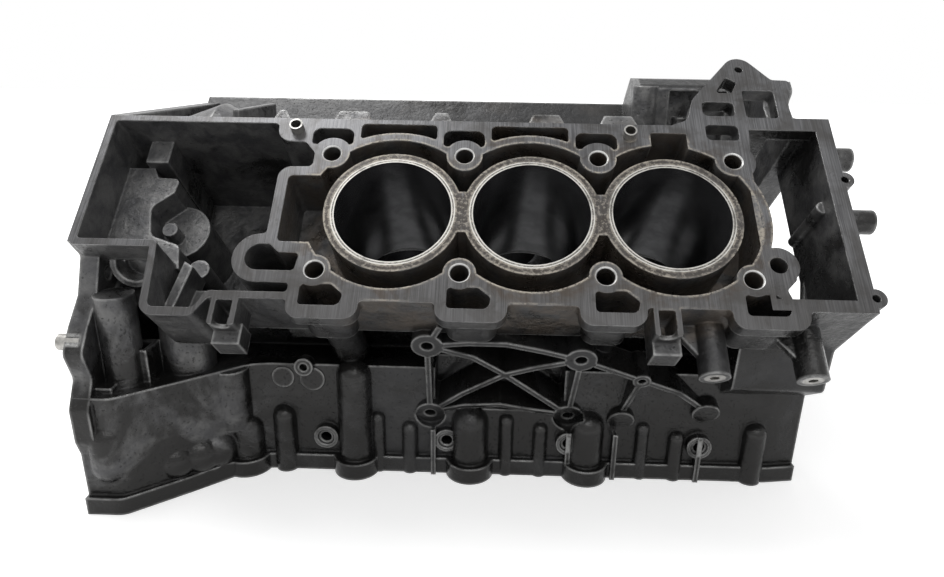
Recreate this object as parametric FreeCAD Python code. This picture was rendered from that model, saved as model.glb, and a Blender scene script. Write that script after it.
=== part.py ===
"""Cylinder block of a 90 degree V6 petrol engine, cast on a V8-length crankcase.

Millimetres.  X runs along the crankshaft towards the timing end, Z is up, and the part
stands on its pan rail.  Everything is modelled with the crankshaft axis at Y = Z = 0 and
the first cylinder of the right bank at X = 0, and is moved to the library frame when it
is written.  The right bank leans to -Y and the left bank to +Y.

Each bank is drawn in its own frame: u along the crankshaft, v across the deck towards
the valley, n out of the deck, with the deck face at n = 0.
"""
import FreeCAD, Part
import os
from math import atan2, cos, hypot, pi, sin, sqrt, tan

V = FreeCAD.Vector
X_AXIS = V(1, 0, 0)
Y_AXIS = V(0, 1, 0)
Z_AXIS = V(0, 0, 1)
ROOT_HALF = sqrt(0.5)

# ---- cylinders -------------------------------------------------------------------
BORES = 3
PITCH = 100.0
BORE_R = 42.25
LINER_WALL = 2.75
LINER_LENGTH = 127.0
BARREL_WALL = 5.0
BANK_STAGGER = 22.0          # the left bank sits this far behind the right bank
DECK_HEIGHT = 220.0          # crankshaft axis to deck face
LINER_R = BORE_R + LINER_WALL
BARREL_R = LINER_R + BARREL_WALL
WEB_HALF = 17.0              # half height of the bridge between two barrels

# ---- open-deck water jacket ------------------------------------------------------
JACKET_GAP = 13.0
JACKET_DEPTH = 48.0
JACKET_WALL = 7.0
JACKET_R = BARREL_R + JACKET_GAP
JACKET_TAIL = 79.5           # flat rear end of the jacket, behind the first bore

# ---- cylinder head bolts ---------------------------------------------------------
BOLT_ACROSS = 49.6           # bolt rows above and below the bore line
BOLT_R = 6.5
BOLT_DEPTH = 45.0
BOLT_BOSS_LOW = 11.5         # bolt bosses of the lower row
BOLT_BOSS_HIGH = 13.5
BOLT_CHAMFER = 1.0

# ---- deck ------------------------------------------------------------------------
REAR_SPAN = 227.5            # rear face to the first bore of the right bank
FRONT_SPAN = 128.5           # last bore of the right bank to the front face
DECK_LOW = -72.5             # lower edge of the deck
VALLEY_EDGE = {"right": 82.5, "left": 91.0}
RIM = 5.0                    # thin walls round the empty rear bay
FLANGE = 12.0                # thickness of the deck frame and the ear
SIDE_DEPTH = 52.0            # how far the outer wall of a bank hangs below the deck
REAR_X = -REAR_SPAN
FRONT_X = (BORES - 1) * PITCH + FRONT_SPAN
BAY_FLOOR = 118.0            # depth of the empty rear bay
POCKET_DEPTH = 36.0          # cored pockets in the deck
BULGE_DEPTH = 45.0           # bosses that hold the pockets of the lower edge
BULGE_INSET = 6.0            # those bosses are this much narrower than the deck above

# lugs for the valley cover on the right deck: start and width
VALLEY_LUGS = [(-101.0, 15.0), (-54.0, 32.0), (21.0, 19.0), (97.0, 30.0), (152.0, 31.0)]

# ---- timing chest ----------------------------------------------------------------
FRONT_WALL = 12.0
FRONT_STRIP = 69.0           # depth of the front wall under each deck

# ---- crankcase -------------------------------------------------------------------
PAN_DROP = 71.0              # crankshaft axis to pan rail
SKIRT_HALF = 138.0
SKIRT_WALL = 6.0
RAIL_THICK = 14.0
LEDGE = 24.0                 # top of the skirt
CRANK_ROOM_R = 95.0
WEB_THICK = 23.0             # main bearing bulkheads
MAIN_R = 36.0                # main bearing tunnel
REAR_SEAL_R = 52.0
REAR_FLANGE = 14.0
FRONT_MAIN_SHIFT = 7.0       # the front bulkhead stands further forward than its pitch
SEAL_WALL = 12.0             # rear wall behind the flange
CHEST_REAR = 66.0            # rear wall of the timing chest, behind the front face
CHEST_ROOT = 85.0            # the last barrel stands proud of that wall down to this level
PAD_CLEAR = 10.0             # bulkhead pads stop this far above the pan rail

# ---- main bearing caps -----------------------------------------------------------
CAP_HALF = 86.0
CAP_DEPTH = 58.0
CAP_THICK = 22.0
CAP_SOLE = 67.0              # half width of the flat underside
CROSS_BOLT_DROP = 39.0
CROSS_BOLT_R = 4.5
CROSS_BOSS_R = 10.0
CROSS_BOSS_PROUD = 7.0
CROSS_THREAD = 25.0
MAIN_BOLT_OUT = 52.0
MAIN_BOLT_R = 5.5
MAIN_BOLT_GRIP = 32.0        # thread length in the bulkhead
MAIN_HEAD_ACROSS = 16.0
MAIN_HEAD_THICK = 6.0

# ---- side of the crankcase -------------------------------------------------------
# domed ribs on each skirt: distance from the first bore, radius, height of the top
SKIRT_RIBS = [
    (-129.0, 15.0, -19.0), (-96.0, 9.5, -13.0), (-37.0, 14.0, 30.0), (-18.0, 5.5, -17.0),
    (8.0, 6.5, -25.0), (58.0, 15.0, -9.0), (88.0, 6.0, -16.0), (116.0, 6.0, -23.0),
    (154.0, 14.0, -11.0), (200.0, 5.5, -20.0), (228.0, 6.5, -27.0), (291.5, 9.5, -18.0),
]
WIDE_RIB = 12.0              # ribs wider than this have a round foot on the rail
THIN_RIBS = (28.0, 139.0, 177.0, 246.0)
THIN_RIB_TOP = -29.0         # below the way of the mount bolts
MOUNT_TILT = 26.0            # the engine mount pads face outwards and down
MOUNT_BOSS_R = 12.0
MOUNT_HOLE_R = 4.5
MOUNT_HOLE_DEPTH = 22.0
MOUNT_ROOTS = [26.0, 26.0, 36.0, 36.0]   # how deep each pad's boss is rooted
SPOT_FACE = 8.0              # machined clear in front of each pad
MOUNT_RIB = 4.5
MOUNT_RIB_DEPTH = 26.0
# pads along the crankshaft and up the tilted face: lower rear, lower front, upper ...
MOUNT_PADS = [(25.0, 0.0), (138.0, 1.0), (26.0, 83.0), (141.0, 71.0)]
MOUNT_LEVELS = [0.0, -0.3, -0.6, -0.9]   # each pad is spot-faced at its own level
MOUNT_CROSS = (84.7, 51.4)
RECESS_FLOOR = -112.0        # the skirt is hollowed this far in behind the bracing
RECESS_LOW = -12.0

# ---- coolant drain bosses on each bank -------------------------------------------
DRAIN_BOSS_R = 10.5
DRAIN_BOSS_REACH = 110.0     # end of the boss below the bore line
DRAIN_BOSS_DROP = 30.0       # boss axis below the deck
DRAIN_PLUG_R = 7.0
DRAIN_PLUG_LENGTH = 12.0
PLUG_SOCKET = 6.0            # across flats of the hexagon socket
PLUG_SOCKET_DEPTH = 5.0

# ---- bell housing and front cover ------------------------------------------------
BELL_DOWEL = (195.0, 63.0)
BELL_DOWEL_R = 6.0
BELL_DOWEL_BORE_R = 4.4
BELL_DOWEL_PROUD = 7.0
BELL_DOWEL_SEAT = 10.0
BELL_BOLTS = [(199.0, 6.0), (197.0, -60.0), (158.0, 104.0), (44.0, 176.0)]
BELL_BOLT_R = 5.0
FRONT_STUD_R = 9.0
FRONT_STUD_REACH = 20.0      # the longer front boss stands this far past the front face
FRONT_STUD_SHORT = 14.0
GALLERY_HEIGHT = 105.0
GALLERY_PLUG_R = 7.5
GALLERY_PLUG_LENGTH = 9.0

# ---- small pieces ----------------------------------------------------------------
DOWEL_R = 5.0
DOWEL_BORE_R = 3.8
DOWEL_PROUD = 6.6
DOWEL_SEAT = 8.0


def rounded_face(points):
    """Face inside a closed line of (x, y) or (x, y, corner radius) points."""
    count = len(points)
    corners = []
    for index, point in enumerate(points):
        here = V(point[0], point[1], 0)
        before = V(points[index - 1][0], points[index - 1][1], 0) - here
        after = V(points[(index + 1) % count][0], points[(index + 1) % count][1], 0) - here
        radius = point[2] if len(point) > 2 else 0
        if radius == 0:
            corners.append((here, None, here))
            continue
        half = before.getAngle(after) / 2
        reach = radius / tan(half)
        towards = (before.normalize() + after.normalize()).normalize()
        middle = here + towards * (radius / sin(half) - radius)
        corners.append((here + before * reach, middle, here + after * reach))
    edges = []
    for index, (start, middle, end) in enumerate(corners):
        if middle is not None:
            edges.append(Part.Arc(start, middle, end).toShape())
        following = corners[(index + 1) % count][0]
        if following.distanceToPoint(end) > 1e-6:
            edges.append(Part.LineSegment(end, following).toShape())
    return Part.Face(Part.Wire(edges))


def prism(points, low, high):
    """Outline in the XY plane, solid from Z = low to Z = high."""
    solid = rounded_face(points).extrude(V(0, 0, high - low))
    solid.translate(V(0, 0, low))
    return solid


def slice_x(points, low, high):
    """Outline of (y, z) points, solid from X = low to X = high."""
    solid = prism(points, low, high)
    solid.rotate(V(0, 0, 0), V(1, 1, 1), 120)
    return solid


def bar(x, y, z, direction, radius, length):
    return Part.makeCylinder(radius, length, V(x, y, z), direction)


def box(low, high):
    size = V(*high) - V(*low)
    return Part.makeBox(size.x, size.y, size.z, V(*low))


def post(u, v, radius, low, high):
    """Round bar along n in a bank's frame."""
    return bar(u, v, low, Z_AXIS, radius, high - low)


def fuse(solids):
    return solids[0].multiFuse(solids[1:]).removeSplitter()


def stand_bank(shape, side):
    """Move a shape from a bank's own frame to the engine."""
    placed = shape.copy()
    placed.translate(V(0, 0, DECK_HEIGHT))
    placed.rotate(V(0, 0, 0), X_AXIS, 45)
    if side == "left":
        placed = placed.mirror(V(0, 0, 0), Y_AXIS)
    return placed


def both_sides(shape):
    return [shape, shape.mirror(V(0, 0, 0), Y_AXIS)]


def first_bore(side):
    return -BANK_STAGGER if side == "left" else 0.0


def bore_centres(side):
    return [first_bore(side) + PITCH * index for index in range(BORES)]


def bolt_places(side):
    return [first_bore(side) - PITCH / 2 + PITCH * index for index in range(BORES + 1)]


# ---- a bank, in its own frame ----------------------------------------------------
def bulges(side):
    """Where the lower edge of the deck swells round the pockets."""
    last = bore_centres(side)[-1]
    spans = [(place - 16, place + 33) for place in bolt_places(side)]
    spans[-2] = (last - 69, last - 24)
    spans[-1] = (last + 32, last + 83)
    return spans


def bank_outline(side):
    """Outer edge of the deck, from the rear corner along the lower edge and back."""
    edge = VALLEY_EDGE[side]
    first = first_bore(side)
    line = [
        (REAR_X, edge, 3), (REAR_X, -30, 2), (REAR_X + 4, -34, 2), (first - 168, -34, 2),
        (first - 163.5, -86.5, 10), (first - 128, -86.5, 8), (first - 119, DECK_LOW, 4),
    ]
    for start, end in bulges(side):
        line += [(start, DECK_LOW, 3), (start + 1, -86, 9), (end, -86, 10), (end, DECK_LOW, 3)]
    line += [(FRONT_X, DECK_LOW, 3), (FRONT_X, 91.5, 5), (FRONT_X - 90, 91.5)]
    line += [(FRONT_X - 105, edge, 5)]
    return line


def ear_outline():
    """Bracket that stands up from the front of the right deck across the valley."""
    return [
        (FRONT_X - 126, 78), (FRONT_X - 120, 83, 6), (FRONT_X - 108, 88, 8),
        (FRONT_X - 102, 109, 12), (FRONT_X - 71, 148), (FRONT_X - 52, 148),
        (FRONT_X - 37.5, 130.5, 5), (FRONT_X - 23, 130, 3), (FRONT_X - 28, 108, 5),
        (FRONT_X - 28, 78),
    ]


def lug_outline(start):
    return [(start, -70), (start, -92, 2), (start + 18, -92, 2), (start + 18, -70)]


def bay_outline(side):
    """Inner edge of the empty rear bay."""
    first = first_bore(side)
    top = VALLEY_EDGE[side] - RIM
    return [
        (REAR_X + 5.5, top, 2), (first - 94, top, 4), (first - 93, 61, 11), (first - 71, 60, 5),
        (first - 63, 50, 6), (first - 63, 37, 4), (first - 87.5, 36.5, 10),
        (first - 87.5, -22, 3), (first - 108.4, -22, 18.5), (first - 108.4, -60, 18.5),
        (first - 66, -60, 3), (first - 66, -67.5, 3), (first - 121, -67.5, 5),
        (first - 127, -80.5, 6), (first - 159, -80.5, 5), (first - 164, -29, 4),
        (REAR_X + 5.5, -29, 3),
    ]


def front_strip():
    """Front wall between deck and cover opening, with a bolt column and a rib inside."""
    inside = FRONT_X - FRONT_WALL
    return [
        box((inside, DECK_LOW, -FRONT_STRIP), (FRONT_X, 91.5, 0)),
        post(inside, 19.5, 5, -65, -14),
        prism([(inside - 5, -40), (inside, -70), (inside + 1, -70), (inside + 1, -10)],
              -FRONT_STRIP, -FRONT_STRIP + 6),
    ]


def bank_solids(side):
    edge = VALLEY_EDGE[side]
    first = first_bore(side)
    last = bore_centres(side)[-1]
    outline = bank_outline(side)
    solids = [prism(outline, -FLANGE, 0)]
    # outer wall and jacket block under the deck
    upper = prism(outline, -SIDE_DEPTH, 0)
    rear_part = box((REAR_X, -90, -SIDE_DEPTH), (first - 118, edge, 0))
    rest = box((first - 118, DECK_LOW, -SIDE_DEPTH), (last + 84, edge, 0))
    solids.append(upper.common(rear_part.fuse(rest)))
    for start, end in bulges(side):
        solids.append(prism([(start + BULGE_INSET, DECK_LOW + 4), (start + BULGE_INSET, -82, 10),
                             (end - BULGE_INSET, -82, 10), (end - BULGE_INSET, DECK_LOW + 4)],
                            -BULGE_DEPTH, 0))
    core = [(-58, -SIDE_DEPTH + 4), (-52, -66), (-52, -DECK_HEIGHT + 60),
            (edge, -DECK_HEIGHT + edge - 12), (edge, -SIDE_DEPTH + 4)]
    solids.append(slice_x(core, REAR_X, last + 66))
    solids += front_strip()
    solids.append(post(FRONT_X + 0.5, 35, 6.5, -20, 0))
    solids.append(post(FRONT_X + 0.5, -61.5, 7, -20, 0))
    for start in (first - 116, last - 20):
        solids.append(prism(lug_outline(start), -30, 0))
        solids.append(box((start + 0.5, -101, -32), (start + 19.5, -86, -13)))
    # columns that run down to the crankcase
    solids.append(post(bolt_places(side)[0] + 10, -66, 13.5, -108, -FLANGE))
    solids.append(post(bolt_places(side)[2] + 10, -66, 8.5, -104, -FLANGE))
    for place in drain_places(side):
        length = DRAIN_BOSS_REACH - 62
        solids.append(bar(place, -62, -DRAIN_BOSS_DROP, -Y_AXIS, DRAIN_BOSS_R, length))
        solids.append(prism([(place - 30, -70), (place - 6, -100), (place, -70)],
                            -DRAIN_BOSS_DROP - 3, -DRAIN_BOSS_DROP + 3))
    # cast studs on the front face
    for v, drop, reach in ((62, 12, FRONT_STUD_SHORT), (8, 15, FRONT_STUD_REACH)):
        solids.append(bar(FRONT_X - 5, v, -drop, X_AXIS, FRONT_STUD_R, reach + 5))
    # lugs for the valley cover
    if side == "right":
        for start, width in VALLEY_LUGS:
            solids.append(prism([(start, edge - 2), (start + 5, edge + 9, 2),
                                 (start + width - 5, edge + 9, 2), (start + width, edge - 2)],
                                -26, -1))
        solids.append(prism(ear_outline(), -FLANGE, 0))
        solids.append(post(FRONT_X - 61.5, 140.5, 12, -FLANGE, 0))
    return solids


def bay_furniture(side):
    """Cast shapes that stand up inside the empty rear bay."""
    first = first_bore(side)
    shelf = prism([(REAR_X + 4, -34), (REAR_X + 66, -34), (REAR_X + 62, -14, 6),
                   (REAR_X + 38, -6, 8), (REAR_X + 32, 20, 8), (REAR_X + 47, 34),
                   (REAR_X + 49, 47, 4), (REAR_X + 31, 48, 2), (REAR_X + 26, 57),
                   (REAR_X + 4, 57)], -BAY_FLOOR, -34)
    shoulder = post(REAR_X + 47, 12, 24, -BAY_FLOOR, -58)
    pin = post(REAR_X + 46, 6, 6, -BAY_FLOOR, -44)
    pillar = prism([(REAR_X + 22, 57), (REAR_X + 40, 57), (REAR_X + 40, 80), (REAR_X + 22, 80)],
                   -BAY_FLOOR, -26)
    boss = post(first - 151, -29, 8, -BAY_FLOOR, -44)
    rib = prism([(first - 163, -82), (first - 156, -82), (first - 147, -36), (first - 154, -32)],
                -SIDE_DEPTH, -26)
    return [shelf, shoulder, pin, pillar, boss, rib]


def drain_places(side):
    last = bore_centres(side)[-1]
    return [last + 25, FRONT_X - 37.5]


def jacket(side):
    """Water space round the barrels, open at the deck."""
    first = first_bore(side)
    last = bore_centres(side)[-1]
    space = [post(centre, 0, JACKET_R, -JACKET_DEPTH, 0) for centre in bore_centres(side)]
    space.append(prism([(first - JACKET_TAIL, -28, 4), (first, -28), (first, 29),
                        (first - JACKET_TAIL, 29, 4)], -JACKET_DEPTH, 0))
    space.append(prism([(last - 9.5, 0), (last + 18, 0), (last + 18, 75, 2),
                        (last - 9.5, 75, 2)], -JACKET_DEPTH, 0))
    space = fuse(space)
    solid = [post(centre, 0, BARREL_R, -JACKET_DEPTH, 0) for centre in bore_centres(side)]
    for place in bolt_places(side)[1:-1]:
        solid.append(box((place - 6, -WEB_HALF, -JACKET_DEPTH), (place + 6, WEB_HALF, 0)))
    for place in bolt_places(side):
        solid.append(post(place, -BOLT_ACROSS, BOLT_BOSS_LOW, -JACKET_DEPTH, 0))
        solid.append(post(place, BOLT_ACROSS, BOLT_BOSS_HIGH, -JACKET_DEPTH, 0))
    return space.cut(solid)


def front_end(side):
    """What the timing chest leaves standing round the last bore."""
    last = bore_centres(side)[-1]
    low = CHEST_ROOT - DECK_HEIGHT
    return fuse([
        post(last, 0, JACKET_R + JACKET_WALL, low, 0),
        post(last + 50, BOLT_ACROSS, 16.5, low, 0),
        post(last + 68.5, -38, 14, low, 0),
        prism([(last, -75), (last + 77, -75), (last + 71, -57, 3), (last + 80, -48, 4),
               (last + 60, -20), (last, -20)], low, 0),
        prism([(last, 0), (last + 50, 0), (last + 64, 60), (last + 67, 92), (last, 92)], low, 0),
    ])


def pocket_cuts(side):
    """Shallow cored pockets in the deck."""
    first = first_bore(side)
    last = bore_centres(side)[-1]
    cuts = []
    for place in bolt_places(side)[:-1]:
        pocket = prism([(place - 16.5, 58, 3), (place + 15, 58, 3), (place + 15, 73.5, 7),
                        (place - 16.5, 73.5, 6)], -POCKET_DEPTH, 0)
        cuts.append(pocket.cut(post(place, BOLT_ACROSS, BOLT_BOSS_HIGH + 1, -BOLT_DEPTH, 1)))
    for centre in bore_centres(side)[:-1]:
        pocket = prism([(centre - 30, 64, 3), (centre + 28.5, 64, 3), (centre + 28.5, 78.5, 4),
                        (centre - 30, 78.5, 4)], -POCKET_DEPTH, 0)
        cuts.append(pocket.cut(post(centre, 0, JACKET_R + JACKET_WALL, -BOLT_DEPTH, 1)))
    for place in bolt_places(side):
        pocket = prism([(place - 8, -76.5, 3), (place + 20, -76.5, 5), (place + 22, -68, 4),
                        (place + 13, -60.5, 4), (place - 8, -61, 3)], -POCKET_DEPTH, 0)
        cuts.append(pocket.cut(post(place, -BOLT_ACROSS, BOLT_BOSS_LOW + 1, -BOLT_DEPTH, 1)))
    # oval loop beside the empty bay
    cuts.append(prism([(first - 99.6, -30, 10), (first - 84, -30, 2), (first - 77, -36.5, 3),
                       (first - 62, -37, 3), (first - 64, -51, 3), (first - 99.6, -51, 10)],
                      -BAY_FLOOR, 0))
    # square channels in the two lugs
    for start in (first - 116, last - 20):
        cuts.append(prism([(start + 3, -74, 1.5), (start + 14.5, -74, 1.5),
                           (start + 14.5, -89, 2.5), (start + 3, -89, 2.5)], -31, 0))
        cuts.append(bar(start + 8.7, -93, -2, Y_AXIS, 5.7, 12))
    cuts.append(post(last + 68.5, -38, 6.3, -60, 0))
    return cuts


def ear_cuts():
    cuts = []
    for low, high in ((69, 84), (92.5, 107)):
        cuts.append(prism([(FRONT_X - 95.5, low, 4), (FRONT_X - 70.5, low, 4),
                           (FRONT_X - 70.5, high, 4), (FRONT_X - 95.5, high, 4)],
                          -FLANGE - 40, 1))
    cuts.append(prism([(FRONT_X - 83.5, 116, 2), (FRONT_X - 70.5, 116, 2), (FRONT_X - 65, 127.5, 2),
                       (FRONT_X - 73, 133, 2)], -FLANGE - 1, 1))
    cuts.append(prism([(FRONT_X - 62.5, 91.5, 3), (FRONT_X - 37.5, 91.5, 3),
                       (FRONT_X - 37.5, 119.5, 3), (FRONT_X - 62.5, 119.5, 3)], -FLANGE - 1, 1))
    cuts.append(post(FRONT_X - 61.5, 141, 3.3, -FLANGE - 1, 1))
    return cuts


def bank_cuts(side):
    first = first_bore(side)
    top = VALLEY_EDGE[side] - RIM
    outline = bay_outline(side)
    deep = prism(outline, -BAY_FLOOR, 1).common(box((REAR_X, -47, -BAY_FLOOR), (first, top, 1)))
    bay = deep.fuse(prism(outline, -SIDE_DEPTH + 8, 1))
    cuts = [bay.cut(bay_furniture(side))]
    cuts.append(jacket(side))
    cuts += pocket_cuts(side)
    for centre in bore_centres(side):
        cuts.append(post(centre, 0, LINER_R, -DECK_HEIGHT + 60, 1))
    for place in bolt_places(side):
        for across in (-BOLT_ACROSS, BOLT_ACROSS):
            cuts.append(post(place, across, BOLT_R, -BOLT_DEPTH, 1))
            cuts.append(Part.makeCone(BOLT_R, BOLT_R + BOLT_CHAMFER, BOLT_CHAMFER,
                                      V(place, across, -BOLT_CHAMFER), Z_AXIS))
    for u, v in dowel_places(side):
        cuts.append(post(u, v, DOWEL_R, -DOWEL_SEAT, 1))
    cuts.append(post(FRONT_X + 0.5, 35, 3, -21, 1))
    cuts.append(post(FRONT_X + 0.5, -61.5, 3, -21, 1))
    for place in drain_places(side):
        cuts.append(bar(place, -DRAIN_BOSS_REACH, -DRAIN_BOSS_DROP, Y_AXIS, DRAIN_PLUG_R,
                        DRAIN_PLUG_LENGTH))
    if side == "right":
        cuts += ear_cuts()
    return cuts


def dowel_places(side):
    first = first_bore(side)
    last = bore_centres(side)[-1]
    return [(first - 79, 71.5), (last - 25.7, 71.5)]


# ---- crankcase, in the engine's frame ----------------------------------------------
def main_places():
    """The five main bearing bulkheads lie half a pitch from the bores' mean line."""
    middle = -BANK_STAGGER / 2
    places = [middle - 1.5 * PITCH + PITCH * index for index in range(BORES + 2)]
    places[-1] += FRONT_MAIN_SHIFT
    return places


def skirt_outline(extra=0.0):
    """Plan of the skirt, flared to the rear flange."""
    half = SKIRT_HALF + extra
    side = [
        (FRONT_X, -half + 4), (FRONT_X - 25, -half, 20), (REAR_X + 110, -half, 40),
        (REAR_X + 65, -half - 38, 30), (REAR_X + 28, -half - 68, 15), (REAR_X, -half - 68),
    ]
    other = [(point[0], -point[1]) + tuple(point[2:]) for point in reversed(side)]
    return side + other


def mirrored(side):
    """Complete an outline of (y, z) points across the middle plane."""
    other = [(-point[0], point[1]) + tuple(point[2:]) for point in reversed(side)]
    return side + other


def crankcase_solids():
    recess = box((MOUNT_PADS[0][0] + 4, -SKIRT_HALF - 1, RECESS_LOW),
                 (MOUNT_PADS[1][0] - 4, RECESS_FLOOR, LEDGE))
    solids = [prism(skirt_outline(), -PAN_DROP, LEDGE).cut(both_sides(recess))]
    solids.append(prism(skirt_outline(5.0), -PAN_DROP, -PAN_DROP + RAIL_THICK))
    roof = mirrored([(-SKIRT_HALF + 30, LEDGE - 10), (-80, 46), (-30, 112)])
    solids.append(slice_x(roof, REAR_X, FRONT_X - 80))
    # rear flange for the bell housing
    flange = mirrored([
        (-208, -PAN_DROP), (-208, -60, 8), (-199, -43, 10), (-210, -10, 10), (-210, 16, 10),
        (-199, 36, 8), (-206, 58, 8), (-194, 74, 8), (-177, 92, 10), (-166, 119, 4),
        (-178, 133), (-97, 213.9), (0, 213.9),
    ])
    solids.append(slice_x(flange, REAR_X, REAR_X + REAR_FLANGE))
    # front housing round the timing chest
    front = mirrored([
        (-126, -PAN_DROP), (-122, -56, 6), (-95, -38, 10), (-100, -15, 10), (-160, 22, 8),
        (-163, 58, 6), (-206.5, 104.7), (-107, 204.2), (-30, 127), (0, 120),
    ])
    solids.append(slice_x(front, FRONT_X - 70, FRONT_X))
    # wall that closes the valley at the front
    bridge = [
        (-91, 214), (-28, 217, 4), (-14, 227, 5), (-20, 238, 5), (-11, 246), (62, 246, 6),
        (93, 218), (0, 125),
    ]
    solids.append(slice_x(bridge, FRONT_X - 22, FRONT_X))
    return solids


def crank_room():
    """Crank bays, main bearing tunnel and the seats of the bearing caps."""
    inner = SKIRT_HALF - SKIRT_WALL
    mains = main_places()
    rear = REAR_X + REAR_FLANGE + SEAL_WALL
    chest = FRONT_X - CHEST_REAR
    waist = -RECESS_FLOOR - SKIRT_WALL
    bay = mirrored([(-inner, -PAN_DROP), (-inner, RECESS_LOW - 26),
                    (-waist, RECESS_LOW - SKIRT_WALL), (-waist, LEDGE - SKIRT_WALL)])
    low = rear
    cuts = []
    for place in mains:
        high = place - WEB_THICK / 2
        cuts += [bar(low, 0, 0, X_AXIS, CRANK_ROOM_R, high - low), slice_x(bay, low, high)]
        low = place + WEB_THICK / 2
    cuts.append(bar(rear, 0, 0, X_AXIS, MAIN_R, chest - rear))
    cuts.append(bar(REAR_X, 0, 0, X_AXIS, REAR_SEAL_R, rear - REAR_X))
    cuts.append(box((rear, -CAP_HALF, -PAN_DROP), (chest, CAP_HALF, 0)))
    cuts.append(box((rear, -inner, -PAN_DROP), (chest, inner, -PAN_DROP + PAD_CLEAR)))
    for place in mains:
        for side in (-1, 1):
            cuts.append(bar(place, side * MAIN_BOLT_OUT, 0, Z_AXIS, MAIN_BOLT_R, MAIN_BOLT_GRIP))
    for place in mains[1:]:
        length = SKIRT_HALF + CROSS_BOSS_PROUD - CAP_HALF
        cuts += both_sides(bar(place, -CAP_HALF, -CROSS_BOLT_DROP, -Y_AXIS, CROSS_BOLT_R, length))
        cuts += both_sides(bar(place, -SKIRT_HALF - CROSS_BOSS_PROUD + 1.5, -CROSS_BOLT_DROP,
                               -Y_AXIS, CROSS_BOSS_R - 3, 1.5))
    return cuts


def domed_rib(x, y, radius, low, top):
    """Upright half-round rib with a ball end."""
    shaft = bar(x, y, low, Z_AXIS, radius, top - radius - low)
    return [shaft, Part.makeSphere(radius, V(x, y, top - radius))]


def skirt_dress():
    """Bosses, ribs and pads on one side of the crankcase."""
    solids = []
    skin = -SKIRT_HALF - 1
    for x, radius, top in SKIRT_RIBS:
        solids += domed_rib(x, skin, radius, -PAN_DROP, top)
        if radius > WIDE_RIB:
            solids.append(bar(x, skin, -PAN_DROP, Z_AXIS, radius + 5, RAIL_THICK))
    for place in main_places()[1:]:
        solids.append(bar(place, -SKIRT_HALF + 2, -CROSS_BOLT_DROP, -Y_AXIS, CROSS_BOSS_R,
                          CROSS_BOSS_PROUD + 2))
    for x in THIN_RIBS:
        solids.append(box((x - 2, -SKIRT_HALF - 8, -PAN_DROP), (x + 2, -SKIRT_HALF + 2, THIN_RIB_TOP)))
    # boss with a blind hole and two casting dials on the plain panel
    solids.append(bar(-76, -SKIRT_HALF + 2, LEDGE, -Y_AXIS, 7.5, 9))
    solids.append(bar(-95, -SKIRT_HALF + 2, 12, -Y_AXIS, 9, 3))
    solids.append(bar(-71, -SKIRT_HALF + 2, 11, -Y_AXIS, 10, 3))
    # column that ends in the long rib of the skirt
    solids.append(bar(-136, skin - 3, -30, Z_AXIS, 15, LEDGE + 28))
    return solids


def flare_dress():
    """Swellings of the flared rear part, up to the bell housing flange."""
    flange = REAR_X + REAR_FLANGE
    solids = domed_rib(REAR_X + 17, -194, 17, -34, 4)
    solids.append(Part.makeSphere(17, V(REAR_X + 17, -194, -34)))
    solids += domed_rib(REAR_X + 25, -190, 13, -PAN_DROP, -32)
    for x, y in ((-176, -170), (-160, -160), (-150, -152)):
        solids.append(Part.makeSphere(18, V(x, y, -46)))
    # upright column and half-round rib above the ledge
    solids.append(bar(-166, -146, LEDGE - 10, Z_AXIS, 20, 60))
    solids.append(bar(flange + 12, -176, LEDGE - 10, Z_AXIS, 14, 80))
    solids.append(box((flange - 8, -SKIRT_HALF - 60, LEDGE - 4), (flange + 12, -150, LEDGE + 4)))
    # open box with a slot, beside the flange
    solids.append(box((-201, -178, LEDGE - 2), (-183, -156, 50)))
    # ring boss
    solids.append(bar(-191, -130, 112, -Y_AXIS, 17, 34))
    return solids


def skirt_holes():
    return [
        bar(-76, -SKIRT_HALF - 7, LEDGE, Y_AXIS, 3.2, 8),
        bar(-191, -164, 112, Y_AXIS, 12.5, 16),
        box((-198, -175, 38), (-186, -160, 51)),
    ]


def on_mount_face(shape):
    """Move a shape from the XY plane to the tilted face of the engine mount pads."""
    placed = shape.copy()
    placed.rotate(V(0, 0, 0), X_AXIS, 90 + MOUNT_TILT)
    placed.translate(V(0, -SKIRT_HALF - 0.5, -17))
    return placed


def strap(line, width, low, high):
    """Rib that follows a line of points in the XY plane, with round joints."""
    pieces = []
    for start, end in zip(line, line[1:]):
        length = hypot(end[0] - start[0], end[1] - start[1])
        piece = Part.makeBox(length, width, high - low, V(0, -width / 2, low))
        piece.rotate(V(0, 0, 0), Z_AXIS, atan2(end[1] - start[1], end[0] - start[0]) * 180 / pi)
        piece.translate(V(start[0], start[1], 0))
        pieces.append(piece)
    for x, y in line[1:-1]:
        pieces.append(bar(x, y, low, Z_AXIS, width / 2, high - low))
    return pieces


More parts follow.
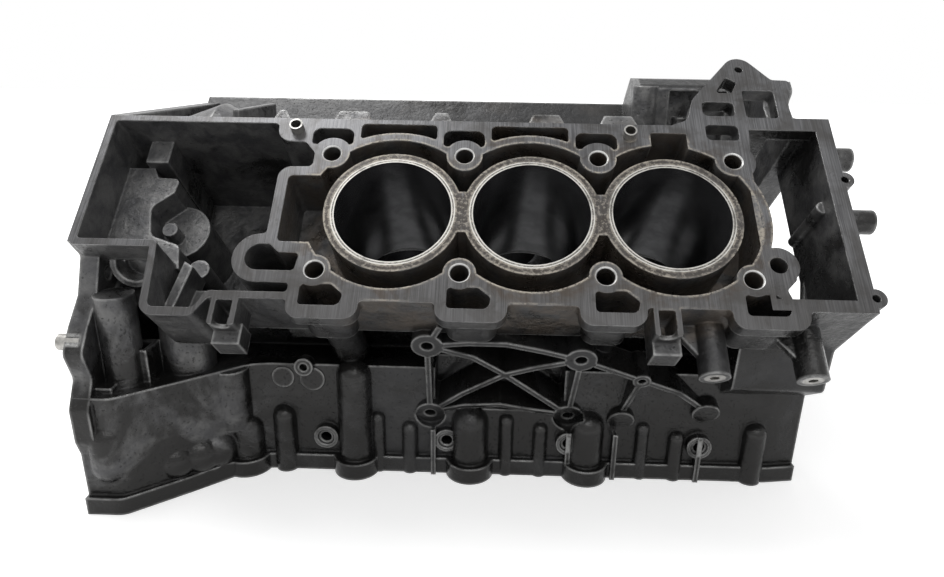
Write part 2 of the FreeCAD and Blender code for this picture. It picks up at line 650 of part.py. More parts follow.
def mount_frame():
    """Engine mount pads of one side with their crossed bracing."""
    low_rear, low_front, high_rear, high_front = MOUNT_PADS
    cross = MOUNT_CROSS
    lines = [
        [high_rear, (56, 87), (84, 87), (112, 80), high_front],
        [high_rear, (60, 71), cross, low_front],
        [low_rear, (52, 26), cross, (106, 60), high_front],
        [low_rear, (52, 9), (82, 12), (108, 6), low_front],
        [low_rear, high_rear, (36, 104)],
        [low_front, high_front],
        [high_front, (190, 48.6), (182, 10)],
        [(190, 48.6), (222, 34), (247, 12)],
    ]
    pieces = []
    for line in lines:
        pieces += strap(line, MOUNT_RIB, -MOUNT_RIB_DEPTH, -0.5)
    for (x, y), level, root in zip(MOUNT_PADS, MOUNT_LEVELS, MOUNT_ROOTS):
        pieces.append(bar(x, y, -root, Z_AXIS, MOUNT_BOSS_R, root + level))
    pieces.append(bar(190, 48.6, -26, Z_AXIS, 7, 26))
    pieces.append(bar(181, 0, -12, Z_AXIS, 11, 15))
    pieces.append(bar(248, 10, -14, Z_AXIS, 11, 15))
    return on_mount_face(fuse(pieces))


def mount_holes():
    holes = []
    for (x, y), level in zip(MOUNT_PADS, MOUNT_LEVELS):
        bottom = level - MOUNT_HOLE_DEPTH
        holes.append(bar(x, y, bottom, Z_AXIS, MOUNT_HOLE_R, MOUNT_HOLE_DEPTH))
        holes.append(bar(x, y, level, Z_AXIS, MOUNT_BOSS_R + 0.5, SPOT_FACE))
    holes.append(bar(190, 48.6, -12, Z_AXIS, 3, 12))
    return [on_mount_face(hole) for hole in holes]


def valley_solids():
    """Outlet tower at the front of the valley and the ribs on its left wall."""
    rear = FRONT_X - 124
    front = FRONT_X - 20
    tower = slice_x([(16, 122), (16, 240, 5), (30, 246, 5), (62, 246, 6), (93, 218), (93, 160),
                     (45, 118)], rear, front)
    recess = box((rear + 28, 10, 150), (rear + 80, 30, 236))
    column = bar(rear + 44, 30, 122, Z_AXIS, 8, 90)
    corner = bar(rear + 8, 24, 122, Z_AXIS, 12, 118)
    edge = (DECK_HEIGHT - VALLEY_EDGE["left"]) * ROOT_HALF
    ribs = [bar(x, edge, 150, Z_AXIS, 8, 62) for x in (31, 152)]
    # half dome and cross wall at the rear of the valley
    dome = Part.makeCone(52, 66, 40, V(REAR_X + 24, -30, 154), X_AXIS)
    cap = Part.makeCone(66, 56, 18, V(REAR_X + 64, -30, 154), X_AXIS)
    keep = box((REAR_X, -90, 120), (REAR_X + 90, 20, 230))
    wall = box((REAR_X + 36, -88, 120), (REAR_X + 41, 92, 206))
    fin = box((REAR_X + 82, -60, 140), (REAR_X + 87, 40, 217))
    return [tower.cut(recess), column, corner, dome.common(keep), cap.common(keep), wall, fin] + ribs


def chest_room():
    """Timing chest, open at both decks, at the front and to the sump."""
    room = mirrored([
        (-112, -PAN_DROP), (-110, -58, 6), (-84, -40, 8), (-90, -8, 8), (-148, 28, 8),
        (-152, 62, 6), (-201.2, 111.4), (-99.7, 212.8), (0, 113),
    ])
    space = slice_x(room, FRONT_X - CHEST_REAR, FRONT_X)
    kept = []
    for side in ("right", "left"):
        kept += [stand_bank(shape, side) for shape in [front_end(side)] + front_strip()]
    return space.cut(kept)


def bell_holes():
    holes = [bar(REAR_X, -out, up, X_AXIS, BELL_BOLT_R, REAR_FLANGE) for out, up in BELL_BOLTS]
    out, up = BELL_DOWEL
    holes.append(bar(REAR_X, -out, up, X_AXIS, BELL_DOWEL_R, BELL_DOWEL_SEAT))
    return holes


def gallery_bore(x):
    return bar(x, 0, GALLERY_HEIGHT, X_AXIS, GALLERY_PLUG_R, GALLERY_PLUG_LENGTH)


def block_casting():
    core = fuse(crankcase_solids() + valley_solids())
    dress = [half for piece in skirt_dress() + flare_dress() for half in both_sides(piece)]
    solids = [core.multiFuse(dress)]
    solids += both_sides(mount_frame())
    cuts = crank_room()
    for hole in skirt_holes() + mount_holes() + bell_holes():
        cuts += both_sides(hole)
    cuts.append(gallery_bore(REAR_X))
    cuts.append(gallery_bore(FRONT_X - CHEST_REAR - GALLERY_PLUG_LENGTH))
    for side in ("right", "left"):
        solids.append(stand_bank(fuse(bank_solids(side)), side))
        cuts += [stand_bank(cut, side) for cut in bank_cuts(side)]
    casting = solids[0].multiFuse(solids[1:])
    return casting.cut([chest_room()]).cut(cuts)


def liner(centre, side):
    tube = post(centre, 0, LINER_R, -LINER_LENGTH, 0)
    tube = tube.cut(post(centre, 0, BORE_R, -LINER_LENGTH, 0))
    return stand_bank(tube, side)


def main_cap(place):
    """Main bearing cap, seated between the bulkhead pads."""
    outline = mirrored([(-CAP_HALF, 0), (-CAP_HALF, -CAP_DEPTH + 8, 4),
                        (-CAP_SOLE, -CAP_DEPTH, 4)])
    cap = slice_x(outline, place - CAP_THICK / 2, place + CAP_THICK / 2)
    cuts = [bar(place - CAP_THICK, 0, 0, X_AXIS, MAIN_R, 2 * CAP_THICK)]
    for side in (-1, 1):
        cuts.append(bar(place, side * MAIN_BOLT_OUT, -CAP_DEPTH, Z_AXIS, MAIN_BOLT_R, CAP_DEPTH))
        cuts.append(bar(place, side * CAP_HALF, -CROSS_BOLT_DROP, Y_AXIS * -side, CROSS_BOLT_R,
                        CROSS_THREAD))
    return cap.cut(cuts)


def main_cap_bolts():
    """All the vertical main bearing bolts, as separate solids."""
    bolts = []
    for place in main_places():
        for side in (-1, 1):
            y = side * MAIN_BOLT_OUT
            head = prism(hexagon(MAIN_HEAD_ACROSS), -MAIN_HEAD_THICK, 0)
            head.translate(V(place, y, -CAP_DEPTH))
            shank = bar(place, y, -CAP_DEPTH, Z_AXIS, MAIN_BOLT_R, CAP_DEPTH + MAIN_BOLT_GRIP)
            bolts.append(head.fuse(shank).removeSplitter())
    return Part.makeCompound(bolts)


def hexagon(across):
    reach = across / sqrt(3)
    return [(reach * cos(index * pi / 3), reach * sin(index * pi / 3)) for index in range(6)]


def ring_dowel(outer, inner, length):
    """Tube that stands on the XY plane."""
    return bar(0, 0, 0, Z_AXIS, outer, length).cut(bar(0, 0, 0, Z_AXIS, inner, length))


def socket_plug(radius, length):
    """Headless plug below the XY plane with a hexagon socket in its face."""
    plug = bar(0, 0, -length, Z_AXIS, radius, length)
    return plug.cut(prism(hexagon(PLUG_SOCKET), -PLUG_SOCKET_DEPTH, 0))


def head_dowel(side, place):
    dowel = ring_dowel(DOWEL_R, DOWEL_BORE_R, DOWEL_SEAT + DOWEL_PROUD)
    dowel.translate(V(place[0], place[1], -DOWEL_SEAT))
    return stand_bank(dowel, side)


def bell_dowel(side):
    dowel = ring_dowel(BELL_DOWEL_R, BELL_DOWEL_BORE_R, BELL_DOWEL_SEAT + BELL_DOWEL_PROUD)
    dowel.rotate(V(0, 0, 0), Y_AXIS, 90)
    out = -BELL_DOWEL[0] if side == "right" else BELL_DOWEL[0]
    dowel.translate(V(REAR_X - BELL_DOWEL_PROUD, out, BELL_DOWEL[1]))
    return dowel


def drain_plug(side, place):
    plug = socket_plug(DRAIN_PLUG_R, DRAIN_PLUG_LENGTH)
    plug.rotate(V(0, 0, 0), X_AXIS, 90)
    plug.translate(V(place, -DRAIN_BOSS_REACH, -DRAIN_BOSS_DROP))
    return stand_bank(plug, side)


def gallery_plug(x, facing):
    """Plug in the end of the main oil gallery; facing is +1 for the front."""
    plug = socket_plug(GALLERY_PLUG_R, GALLERY_PLUG_LENGTH)
    plug.rotate(V(0, 0, 0), Y_AXIS, 90 * facing)
    plug.translate(V(x, 0, GALLERY_HEIGHT))
    return plug


def deliver(name, shape):
    """Write one node in the library frame."""
    rear_end = REAR_X - BELL_DOWEL_PROUD
    front_end_x = FRONT_X + FRONT_STUD_REACH
    shape.translate(V(-(rear_end + front_end_x) / 2, 0, PAN_DROP))
    shape.exportStep(os.path.join("parts", name + ".step"))
    print(name, "valid", shape.isValid(), "solids", len(shape.Solids),
          "faces", len(shape.Faces), "litres", round(shape.Volume / 1e6, 3))


os.makedirs("parts", exist_ok=True)
deliver("block_casting", block_casting())
for side in ("right", "left"):
    for index, centre in enumerate(bore_centres(side)):
        deliver("cylinder_liner_{}_{}".format(side, index + 1), liner(centre, side))
    for end, place in zip(("rear", "front"), dowel_places(side)):
        deliver("head_dowel_{}_{}".format(side, end), head_dowel(side, place))
    for end, place in zip(("rear", "front"), drain_places(side)):
        deliver("drain_plug_{}_{}".format(side, end), drain_plug(side, place))
    deliver("bell_housing_dowel_{}".format(side), bell_dowel(side))
for index, place in enumerate(main_places()):
    deliver("main_bearing_cap_{}".format(index + 1), main_cap(place))
deliver("main_cap_bolts", main_cap_bolts())
deliver("oil_gallery_plug_rear", gallery_plug(REAR_X, -1))
deliver("oil_gallery_plug_front", gallery_plug(FRONT_X - CHEST_REAR, 1))
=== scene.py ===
"""Looks of the cylinder block: cast aluminium, machined faces, honed liners and steel parts.

Metres, in the frame of the CAD model: X runs along the crankshaft towards the timing end,
Z is up and the block stands on its pan rail.
"""
from math import radians, sqrt

import bpy
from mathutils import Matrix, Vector

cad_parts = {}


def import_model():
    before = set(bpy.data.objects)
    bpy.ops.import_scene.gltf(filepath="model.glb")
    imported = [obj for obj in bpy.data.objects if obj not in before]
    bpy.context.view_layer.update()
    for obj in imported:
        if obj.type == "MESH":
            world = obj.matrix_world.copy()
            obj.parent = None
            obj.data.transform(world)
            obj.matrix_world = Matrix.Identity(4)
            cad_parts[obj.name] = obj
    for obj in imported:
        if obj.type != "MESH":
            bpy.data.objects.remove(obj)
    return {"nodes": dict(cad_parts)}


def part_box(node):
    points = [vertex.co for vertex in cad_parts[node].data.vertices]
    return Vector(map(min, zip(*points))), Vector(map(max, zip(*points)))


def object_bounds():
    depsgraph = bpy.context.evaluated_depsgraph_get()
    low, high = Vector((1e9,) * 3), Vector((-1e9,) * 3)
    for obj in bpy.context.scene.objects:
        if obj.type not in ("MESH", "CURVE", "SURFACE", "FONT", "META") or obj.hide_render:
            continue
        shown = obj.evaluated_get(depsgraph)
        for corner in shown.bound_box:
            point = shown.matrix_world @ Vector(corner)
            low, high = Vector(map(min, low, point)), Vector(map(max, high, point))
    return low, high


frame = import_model()
cad_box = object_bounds()

# ---- where the machined faces and the bores lie -------------------------------------
SIN_45 = sqrt(0.5)
CRANK_HEIGHT = 0.071
DECK_HEIGHT = 0.220
REAR_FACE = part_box("block_casting")[0][0]
BLOCK_LENGTH = 0.556
FRONT_FACE = REAR_FACE + BLOCK_LENGTH
DECK_LEVEL = DECK_HEIGHT + CRANK_HEIGHT * SIN_45
SIDES = {"right": -1.0, "left": 1.0}
BORE_NUMBERS = (1, 2, 3)
BOLT_CHAMFER_MIDDLE = 0.0006      # from the deck down to the middle of a bolt hole's chamfer

# ---- rays that the bevel and the occlusion nodes cast --------------------------------
RAY_SAMPLES = 4

# ---- colours of the casting ----------------------------------------------------------
SKIN_DARK = (0.075, 0.075, 0.078)
SKIN_LIGHT = (0.150, 0.149, 0.147)
SKIN_SHADED = (0.018, 0.018, 0.0185)
SKIN_RUBBED_AND_HIGHLIGHT = (0.33, 0.33, 0.325)
OIL_BLACK = (0.016, 0.0155, 0.015)
DIRT_AND_SHADE = (0.020, 0.020, 0.0205)
PIT = (0.010, 0.010, 0.010)
SCALE_BROWN = (0.120, 0.096, 0.074)
MILLED_DARK = (0.080, 0.080, 0.083)
MILLED_LIGHT = (0.150, 0.150, 0.154)
SMEAR = (0.060, 0.057, 0.054)
STAIN = (0.035, 0.031, 0.027)
DECK_PAINTED_SHADE = (0.045, 0.043, 0.041)
GASKET_BROWN = (0.050, 0.036, 0.024)
GASKET_RING = (0.050, 0.044, 0.039)
GASKET_CRUST = (0.30, 0.275, 0.235)
BARE_METAL_AND_HIGHLIGHT = (0.50, 0.50, 0.49)

# ---- colours of the liners -----------------------------------------------------------
LINER_DARK = (0.062, 0.063, 0.066)
LINER_LIGHT = (0.105, 0.106, 0.110)
LINER_RING_DARK = (0.055, 0.050, 0.045)
LINER_RING_LIGHT = (0.26, 0.24, 0.21)
LINER_RIM_AND_HIGHLIGHT = (0.50, 0.49, 0.46)

# ---- floor, lights and camera --------------------------------------------------------
FLOOR_SIZE = 14.0
FLOOR_DROP = 0.0002               # the floor lies just under the pan rail
FLOOR_GREY = (0.80, 0.80, 0.80, 1.0)
WHITE = (1.0, 1.0, 1.0, 1.0)
WORLD_LIGHT = 0.60
TOP_LIGHT_WATTS = 17.0
FRONT_LIGHT_WATTS = 8.0
SENSOR_WIDTH = 36.0
FOCAL_LENGTH = 25.3
EYE = (0.0121, -0.6236, 0.3251)
EYE_TURN = (71.51, -0.93, 1.66)   # degrees


def deck_normal(side):
    return Vector((0.0, SIDES[side] * SIN_45, SIN_45))


def bore_top(side, number):
    """Centre of a bore on the deck plane. Its liner's box gives the place along X."""
    low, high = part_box("cylinder_liner_%s_%d" % (side, number))
    top = deck_normal(side) * DECK_HEIGHT
    return Vector(((low[0] + high[0]) / 2, top.y, top.z + CRANK_HEIGHT))


# ---- node helpers -------------------------------------------------------------------
class Nodes:
    """A material's node tree, with short calls for the nodes used here."""

    def __init__(self, name):
        self.material = bpy.data.materials.new(name)
        self.material.use_nodes = True
        self.tree = self.material.node_tree
        self.shader = self.tree.nodes["Principled BSDF"]
        geometry = self.tree.nodes.new("ShaderNodeNewGeometry")
        self.position = geometry.outputs["Position"]
        self.normal = geometry.outputs["True Normal"]

    def link(self, source, socket):
        if isinstance(source, (int, float)):
            socket.default_value = source
        elif isinstance(source, (tuple, list, Vector)):
            socket.default_value = tuple(source)
        else:
            self.tree.links.new(source, socket)

    def math(self, operation, first, second=0.0):
        node = self.tree.nodes.new("ShaderNodeMath")
        node.operation = operation
        self.link(first, node.inputs[0])
        self.link(second, node.inputs[1])
        return node.outputs[0]

    def dot(self, vector, direction):
        node = self.tree.nodes.new("ShaderNodeVectorMath")
        node.operation = "DOT_PRODUCT"
        self.link(vector, node.inputs[0])
        self.link(direction, node.inputs[1])
        return node.outputs["Value"]

    def mapped(self, vector, rotation, scale):
        node = self.tree.nodes.new("ShaderNodeMapping")
        self.link(vector, node.inputs["Vector"])
        node.inputs["Rotation"].default_value = rotation
        node.inputs["Scale"].default_value = scale
        return node.outputs[0]

    def noise(self, scale, detail=3.0, roughness=0.5, vector=None, distortion=0.0):
        node = self.tree.nodes.new("ShaderNodeTexNoise")
        self.link(vector or self.position, node.inputs["Vector"])
        node.inputs["Scale"].default_value = scale
        node.inputs["Detail"].default_value = detail
        node.inputs["Roughness"].default_value = roughness
        node.inputs["Distortion"].default_value = distortion
        return node.outputs["Fac"]

    def span(self, value, low, high, to_low=0.0, to_high=1.0):
        """Smooth step from to_low, at low, to to_high, at high."""
        node = self.tree.nodes.new("ShaderNodeMapRange")
        node.interpolation_type = "SMOOTHSTEP"
        self.link(value, node.inputs["Value"])
        self.link(low, node.inputs["From Min"])
        self.link(high, node.inputs["From Max"])
        self.link(to_low, node.inputs["To Min"])
        self.link(to_high, node.inputs["To Max"])
        return node.outputs["Result"]

    def mix(self, factor, first, second):
        node = self.tree.nodes.new("ShaderNodeMix")
        node.data_type = "RGBA"
        self.link(factor, node.inputs["Factor"])
        for colour, socket in ((first, node.inputs["A"]), (second, node.inputs["B"])):
            self.link(colour if not isinstance(colour, tuple) else colour + (1.0,), socket)
        return node.outputs["Result"]

    def blend(self, factor, first, second):
        node = self.tree.nodes.new("ShaderNodeMix")
        self.link(factor, node.inputs["Factor"])
        self.link(first, node.inputs["A"])
        self.link(second, node.inputs["B"])
        return node.outputs["Result"]

    def bump(self, height, distance, strength, normal=None):
        node = self.tree.nodes.new("ShaderNodeBump")
        node.inputs["Distance"].default_value = distance
        node.inputs["Strength"].default_value = strength
        self.link(height, node.inputs["Height"])
        if normal is not None:
            self.link(normal, node.inputs["Normal"])
        return node.outputs["Normal"]

    def band(self, value, middle, half_width, soft):
        """1 where a value lies within half_width of the middle, else 0."""
        away = self.math("ABSOLUTE", self.math("SUBTRACT", value, middle))
        return self.span(away, half_width, half_width + soft, 1.0, 0.0)

    def distance(self, vector, point):
        node = self.tree.nodes.new("ShaderNodeVectorMath")
        node.operation = "DISTANCE"
        self.link(vector, node.inputs[0])
        self.link(point, node.inputs[1])
        return node.outputs["Value"]

    def rounded(self, radius):
        """Normal that turns softly over the edges of the solid."""
        node = self.tree.nodes.new("ShaderNodeBevel")
        node.samples = RAY_SAMPLES
        self.link(radius, node.inputs["Radius"])
        return node.outputs["Normal"]

    def openness(self, distance, inside):
        node = self.tree.nodes.new("ShaderNodeAmbientOcclusion")
        node.samples = RAY_SAMPLES
        node.inside = inside
        node.only_local = True
        node.inputs["Distance"].default_value = distance
        return node.outputs["AO"]

    def edges(self, reach):
        """1 along outer edges, 0 on flat ground."""
        return self.math("SUBTRACT", 1.0, self.openness(reach, True))

    def hollows(self, reach):
        """1 deep in corners and holes, 0 in the open."""
        return self.math("SUBTRACT", 1.0, self.openness(reach, False))

    def finish(self, colour, roughness, metallic, normal=None):
        self.link(colour, self.shader.inputs["Base Color"])
        self.link(roughness, self.shader.inputs["Roughness"])
        self.link(metallic, self.shader.inputs["Metallic"])
        if normal is not None:
            self.link(normal, self.shader.inputs["Normal"])
        return self.material


# ---- materials ----------------------------------------------------------------------
def plane_mask(nodes, direction, level):
    """1 on faces that lie in a machined plane."""
    facing = nodes.span(nodes.dot(nodes.normal, direction), 0.990, 0.996)
    near = nodes.band(nodes.dot(nodes.position, direction), level, 0.0004, 0.0002)
    return nodes.math("MULTIPLY", facing, near)


def deck_mask(nodes):
    right = plane_mask(nodes, deck_normal("right"), DECK_LEVEL)
    return nodes.math("MAXIMUM", right, plane_mask(nodes, deck_normal("left"), DECK_LEVEL))


def bore_distance(nodes):
    """Distance to the nearest bore centre on a deck."""
    nearest = 1.0
    for side in SIDES:
        for number in BORE_NUMBERS:
            away = nodes.distance(nodes.position, bore_top(side, number))
            nearest = nodes.math("MINIMUM", away, nearest)
    return nearest


def countersink(nodes, side):
    """1 on the small chamfers at the mouths of the bolt holes of one deck."""
    direction = deck_normal(side)
    slanting = nodes.band(nodes.dot(nodes.normal, direction), SIN_45, 0.02, 0.01)
    level = DECK_LEVEL - BOLT_CHAMFER_MIDDLE
    depth = nodes.band(nodes.dot(nodes.position, direction), level, 0.0007, 0.0001)
    return nodes.math("MULTIPLY", slanting, depth)


def cast_material():
    """Dark cast aluminium: milled faces, gasket crust, an oil film low down, dirt and painted
    shade in hollows, painted shade low down and on the valley wall, rubbed edges and bare
    countersinks with painted highlights.
    """
    nodes = Nodes("cast_aluminium_dark")
    decks = deck_mask(nodes)
    machined = decks
    for direction, level in (((-1, 0, 0), -REAR_FACE), ((1, 0, 0), FRONT_FACE), ((0, 0, -1), 0.0)):
        machined = nodes.math("MAXIMUM", machined, plane_mask(nodes, direction, level))
    height = nodes.dot(nodes.position, (0.0, 0.0, 1.0))
    across = nodes.dot(nodes.position, (0.0, 1.0, 0.0))
    along = nodes.dot(nodes.position, (1.0, 0.0, 0.0))
    outer = nodes.edges(0.0020)
    cavity = nodes.hollows(0.014)

    # cast skin: sand grain, pits, blotches, an oil film low down, painted shade low down and on
    # the valley wall, dirt and painted shade in hollows, rubbed edges with painted highlights
    grain = nodes.noise(1100.0, 2.0, 0.6)
    pebble = nodes.noise(330.0, 3.0, 0.55)
    pits = nodes.span(nodes.noise(520.0, 2.0, 0.5), 0.63, 0.70)
    waves = nodes.noise(48.0, 3.0, 0.5)
    blotch = nodes.noise(13.0, 4.0, 0.6, distortion=0.6)
    patch = nodes.noise(55.0, 5.0, 0.65, distortion=0.4)
    low = nodes.span(height, 0.03, 0.17, 1.0, 0.0)
    oil = nodes.span(nodes.math("ADD", nodes.math("MULTIPLY", low, 0.13), blotch), 0.48, 0.64)
    skin = nodes.mix(nodes.span(patch, 0.35, 0.66), SKIN_DARK, SKIN_LIGHT)
    # painted shade: the skin darkens from mid height down, less so towards the rear, and on the
    # left bank's valley wall that faces the same way as the right deck
    painted_shade_low = nodes.math("MULTIPLY", nodes.span(height, 0.13, 0.21, 0.9, 0.0),
                     nodes.span(along, -0.23, -0.13, 0.35, 1.0))
    facing = nodes.span(nodes.dot(nodes.normal, deck_normal("right")), 0.85, 0.95)
    painted_shade_valley = nodes.math("MULTIPLY", facing, nodes.span(across, 0.0, 0.01, 0.0, 0.9))
    skin = nodes.mix(nodes.math("MAXIMUM", painted_shade_low, painted_shade_valley), skin, SKIN_SHADED)
    skin = nodes.mix(oil, skin, OIL_BLACK)
    # dirt and painted shade: darker deep in corners and holes
    dirt_and_shade = nodes.math("MULTIPLY", nodes.span(cavity, 0.30, 0.95), 0.6)
    skin = nodes.mix(dirt_and_shade, skin, DIRT_AND_SHADE)
    skin = nodes.mix(nodes.math("MULTIPLY", pits, 0.6), skin, PIT)
    # rubbed edges: wear, lightened further as a painted highlight
    rubbed_and_highlight = nodes.math("MULTIPLY", nodes.span(outer, 0.10, 0.40),
                        nodes.span(patch, 0.30, 0.60, 0.2, 1.0))
    skin = nodes.mix(nodes.math("MULTIPLY", rubbed_and_highlight, 0.8), skin, SKIN_RUBBED_AND_HIGHLIGHT)
    skin_rough = nodes.blend(oil, nodes.span(pebble, 0.3, 0.7, 0.30, 0.46), 0.22)

    # milled faces: fine slanting cutter marks, smears, dark stains and painted shade low down
    turned = nodes.mapped(nodes.position, (0.0, 0.0, 1.0), (1300, 24, 24))
    marks = nodes.noise(1.0, 2.0, 0.6, turned)
    smear = nodes.noise(24.0, 5.0, 0.65, distortion=1.2)
    stain = nodes.noise(60.0, 6.0, 0.72, distortion=0.8)
    milled = nodes.mix(nodes.span(marks, 0.30, 0.70), MILLED_DARK, MILLED_LIGHT)
    milled = nodes.mix(nodes.span(smear, 0.42, 0.68, 0.0, 0.7), milled, SMEAR)
    milled = nodes.mix(nodes.span(stain, 0.56, 0.72, 0.0, 0.6), milled, STAIN)
    # painted shade: milled faces darker below the top of the decks
    milled = nodes.mix(nodes.span(height, 0.175, 0.225, 0.55, 0.0), milled, DECK_PAINTED_SHADE)
    milled_rough = nodes.span(marks, 0.2, 0.8, 0.28, 0.42)

    # gasket crust along the water jacket and on the rings round the bores
    away = bore_distance(nodes)
    speck = nodes.noise(420.0, 4.0, 0.7)
    wander = nodes.noise(38.0, 4.0, 0.7, distortion=0.5)
    near_jacket = nodes.span(away, 0.068, 0.076, 1.0, 0.0)
    lip = nodes.math("MULTIPLY", nodes.span(outer, 0.08, 0.30), near_jacket)
    ring = nodes.span(away, 0.051, 0.052, 1.0, 0.0)
    crusted = nodes.math("MULTIPLY", lip, nodes.span(speck, 0.36, 0.55))
    crusted = nodes.math("MULTIPLY", crusted, nodes.span(wander, 0.34, 0.56, 0.2, 1.0))
    flecks = nodes.math("MULTIPLY", ring, nodes.span(speck, 0.52, 0.62, 0.0, 0.45))
    crusted = nodes.math("MAXIMUM", crusted, flecks)
    brown = nodes.math("MULTIPLY", near_jacket, nodes.span(wander, 0.44, 0.62))
    milled = nodes.mix(nodes.math("MULTIPLY", brown, 0.55), milled, GASKET_BROWN)
    milled = nodes.mix(nodes.math("MULTIPLY", ring, 0.75), milled, GASKET_RING)
    milled = nodes.mix(crusted, milled, GASKET_CRUST)
    milled_rough = nodes.blend(crusted, milled_rough, 0.7)

    # water jacket walls: brown scale
    inside = nodes.math("MULTIPLY", nodes.span(away, 0.080, 0.095, 1.0, 0.0),
                        nodes.math("SUBTRACT", 1.0, machined))
    scale = nodes.math("MULTIPLY", inside, nodes.span(wander, 0.36, 0.60))
    skin = nodes.mix(nodes.math("MULTIPLY", scale, 0.6), skin, SCALE_BROWN)

    # countersinks of the bolt holes: bare metal, made brighter still as a painted highlight
    sunk = nodes.math("MAXIMUM", countersink(nodes, "right"), countersink(nodes, "left"))

    colour = nodes.mix(sunk, nodes.mix(machined, skin, milled), BARE_METAL_AND_HIGHLIGHT)
    roughness = nodes.blend(machined, skin_rough, milled_rough)
    bare = nodes.math("SUBTRACT", 1.0, nodes.math("MAXIMUM", machined, sunk))
    bumps = nodes.math("ADD", pebble, nodes.math("MULTIPLY", grain, 0.4))
    bumps = nodes.math("SUBTRACT", bumps, nodes.math("MULTIPLY", pits, 0.8))
    cast_height = nodes.math("MULTIPLY", bumps, bare)
    mark_height = nodes.math("MULTIPLY", marks, nodes.math("MULTIPLY", machined, 0.12))
    crust_height = nodes.math("MULTIPLY", crusted, nodes.math("MULTIPLY", machined, 0.7))
    relief = nodes.math("ADD", nodes.math("ADD", cast_height, mark_height), crust_height)
    soft = nodes.rounded(nodes.blend(machined, 0.0024, 0.0005))
    wavy = nodes.bump(nodes.math("MULTIPLY", waves, bare), 0.0030, 0.5, soft)
    normal = nodes.bump(relief, 0.0005, 0.6, wavy)
    return nodes.finish(colour, roughness, nodes.blend(machined, 0.55, 0.85), normal)


def liner_material():
    """Grey iron: a stained ring at the deck with worn edges and painted highlights on them, honed
    and streaked down the bore.
    """
    nodes = Nodes("liner_iron_honed")
    streak = nodes.noise(60.0, 4.0, 0.6)
    speck = nodes.noise(420.0, 4.0, 0.7)
    wander = nodes.noise(38.0, 4.0, 0.7, distortion=0.5)
    fine = nodes.noise(900.0, 2.0, 0.6)
    colour = nodes.mix(nodes.span(streak, 0.35, 0.65), LINER_DARK, LINER_LIGHT)
    top = deck_mask(nodes)
    rim = nodes.span(nodes.edges(0.0014), 0.08, 0.30)
    ring = nodes.mix(nodes.span(speck, 0.50, 0.62), LINER_RING_DARK, LINER_RING_LIGHT)
    # worn rim of the liner top: wear and a painted highlight
    worn_and_highlit = nodes.math("MULTIPLY", rim, nodes.span(wander, 0.3, 0.5, 0.3, 1.0))
    ring = nodes.mix(worn_and_highlit, ring, LINER_RIM_AND_HIGHLIGHT)
    colour = nodes.mix(top, colour, ring)
    normal = nodes.bump(fine, 0.0001, 0.25)
    return nodes.finish(colour, nodes.blend(top, 0.25, 0.5), 0.8, normal)


def steel_material(name, colour, roughness):
    """Steel or machined iron with a patchy sheen."""
    nodes = Nodes(name)
    patch = nodes.noise(160.0, 4.0, 0.6)
    grain = nodes.noise(1200.0, 2.0, 0.6)
    dark = tuple(channel * 0.55 for channel in colour)
    shade = nodes.mix(nodes.span(patch, 0.35, 0.7), colour, dark)
    rough = nodes.span(patch, 0.3, 0.7, roughness, roughness + 0.18)
    return nodes.finish(shade, rough, 0.95, nodes.bump(grain, 0.0002, 0.3))


def dress(name, material):
    """Give a CAD node its finish."""
    node = bpy.data.objects[name]
    if not node.material_slots:
        node.data.materials.append(None)
    for place in node.material_slots:
        place.link = "OBJECT"
        place.material = material


CAST = cast_material()
LINER = liner_material()
CAP = steel_material("cap_iron_machined", (0.16, 0.16, 0.16), 0.36)
BOLT = steel_material("bolt_steel_black", (0.10, 0.10, 0.10), 0.34)
PLAIN = steel_material("steel_plain", (0.42, 0.41, 0.39), 0.30)

for name in frame["nodes"]:
    if name == "block_casting":
        dress(name, CAST)
    elif name.startswith("cylinder_liner"):
        dress(name, LINER)
    elif name.startswith("main_bearing_cap"):
        dress(name, CAP)
    elif name == "main_cap_bolts":
        dress(name, BOLT)
    else:
        dress(name, PLAIN)


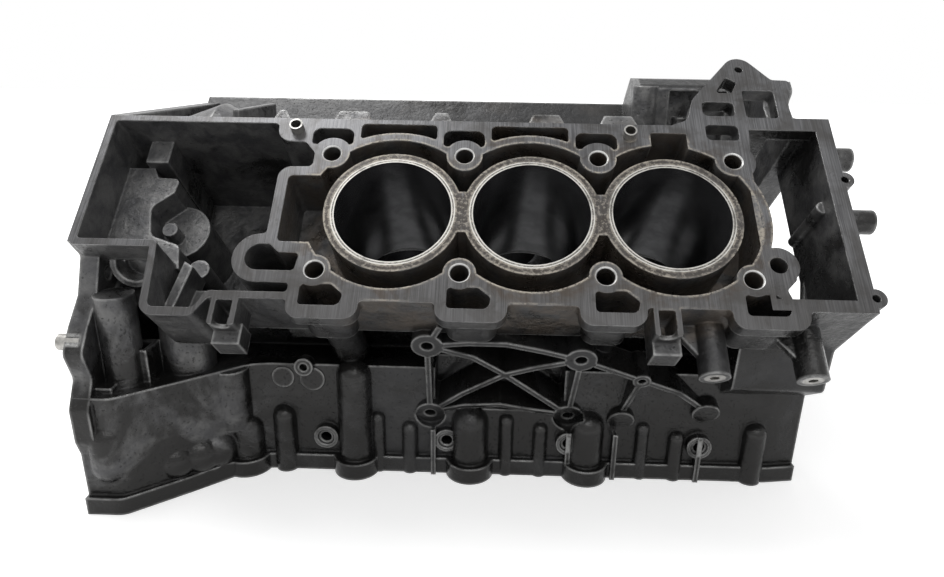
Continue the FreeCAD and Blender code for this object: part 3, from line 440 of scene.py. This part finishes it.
# ---- floor, light and camera ----------------------------------------------------------
def floor():
    """White sheet that turns as bright as the background away from the block."""
    level = cad_box[0][2] - FLOOR_DROP
    bpy.ops.mesh.primitive_plane_add(size=FLOOR_SIZE, location=(0.0, 0.0, level))
    sheet = bpy.context.object
    sheet.name = "floor"
    nodes = Nodes("floor_white")
    rays = nodes.tree.nodes.new("ShaderNodeLightPath")
    seen = nodes.math("MAXIMUM", rays.outputs["Is Camera Ray"], rays.outputs["Is Glossy Ray"])
    seen = nodes.math("MAXIMUM", seen, rays.outputs["Is Transmission Ray"])
    away = nodes.distance(nodes.position, (0.0, 0.0, 0.0))
    glow = nodes.math("MULTIPLY", seen, nodes.span(away, 0.3, 1.6, 0.45, 1.0))
    nodes.link(FLOOR_GREY, nodes.shader.inputs["Base Color"])
    nodes.link(0.9, nodes.shader.inputs["Roughness"])
    nodes.link(0.1, nodes.shader.inputs["Specular IOR Level"])
    nodes.link(WHITE, nodes.shader.inputs["Emission Color"])
    nodes.link(glow, nodes.shader.inputs["Emission Strength"])
    sheet.data.materials.append(nodes.material)


def area(name, location, target, size, power):
    """Soft rectangular light that faces a point."""
    light = bpy.data.lights.new(name, "AREA")
    light.shape = "RECTANGLE"
    light.size, light.size_y = size
    light.energy = power
    lamp = bpy.data.objects.new(name, light)
    lamp.location = location
    lamp.rotation_euler = (Vector(target) - Vector(location)).to_track_quat("-Z", "Y").to_euler()
    bpy.context.scene.collection.objects.link(lamp)


def world(strength):
    """Even white light, seen by the camera and in reflections as plain white."""
    sky = bpy.data.worlds.new("studio")
    sky.use_nodes = True
    tree = sky.node_tree
    rays = tree.nodes.new("ShaderNodeLightPath")
    back = tree.nodes["Background"]
    back.inputs["Color"].default_value = WHITE
    seen = rays.outputs["Is Camera Ray"]
    for other in ("Is Glossy Ray", "Is Transmission Ray"):
        either = tree.nodes.new("ShaderNodeMath")
        either.operation = "MAXIMUM"
        tree.links.new(seen, either.inputs[0])
        tree.links.new(rays.outputs[other], either.inputs[1])
        seen = either.outputs[0]
    level = tree.nodes.new("ShaderNodeMapRange")
    tree.links.new(seen, level.inputs["Value"])
    level.inputs["To Min"].default_value = strength
    level.inputs["To Max"].default_value = 1.0
    tree.links.new(level.outputs[0], back.inputs["Strength"])
    bpy.context.scene.world = sky


def camera():
    """Where the block is seen from: in front of the right bank and above it."""
    data = bpy.data.cameras.new("camera")
    data.sensor_width = SENSOR_WIDTH
    data.lens = FOCAL_LENGTH
    eye = bpy.data.objects.new("camera", data)
    eye.location = EYE
    eye.rotation_euler = [radians(angle) for angle in EYE_TURN]
    bpy.context.scene.collection.objects.link(eye)
    bpy.context.scene.camera = eye


floor()
world(WORLD_LIGHT)
area("top_light", (-0.50, 0.25, 1.45), (0.0, 0.0, 0.2), (1.0, 0.8), TOP_LIGHT_WATTS)
area("front_light", (0.2, -1.2, 1.3), (0.0, 0.0, 0.15), (1.2, 0.7), FRONT_LIGHT_WATTS)
camera()

bpy.context.scene.view_settings.view_transform = "Standard"

bpy.context.view_layer.update()
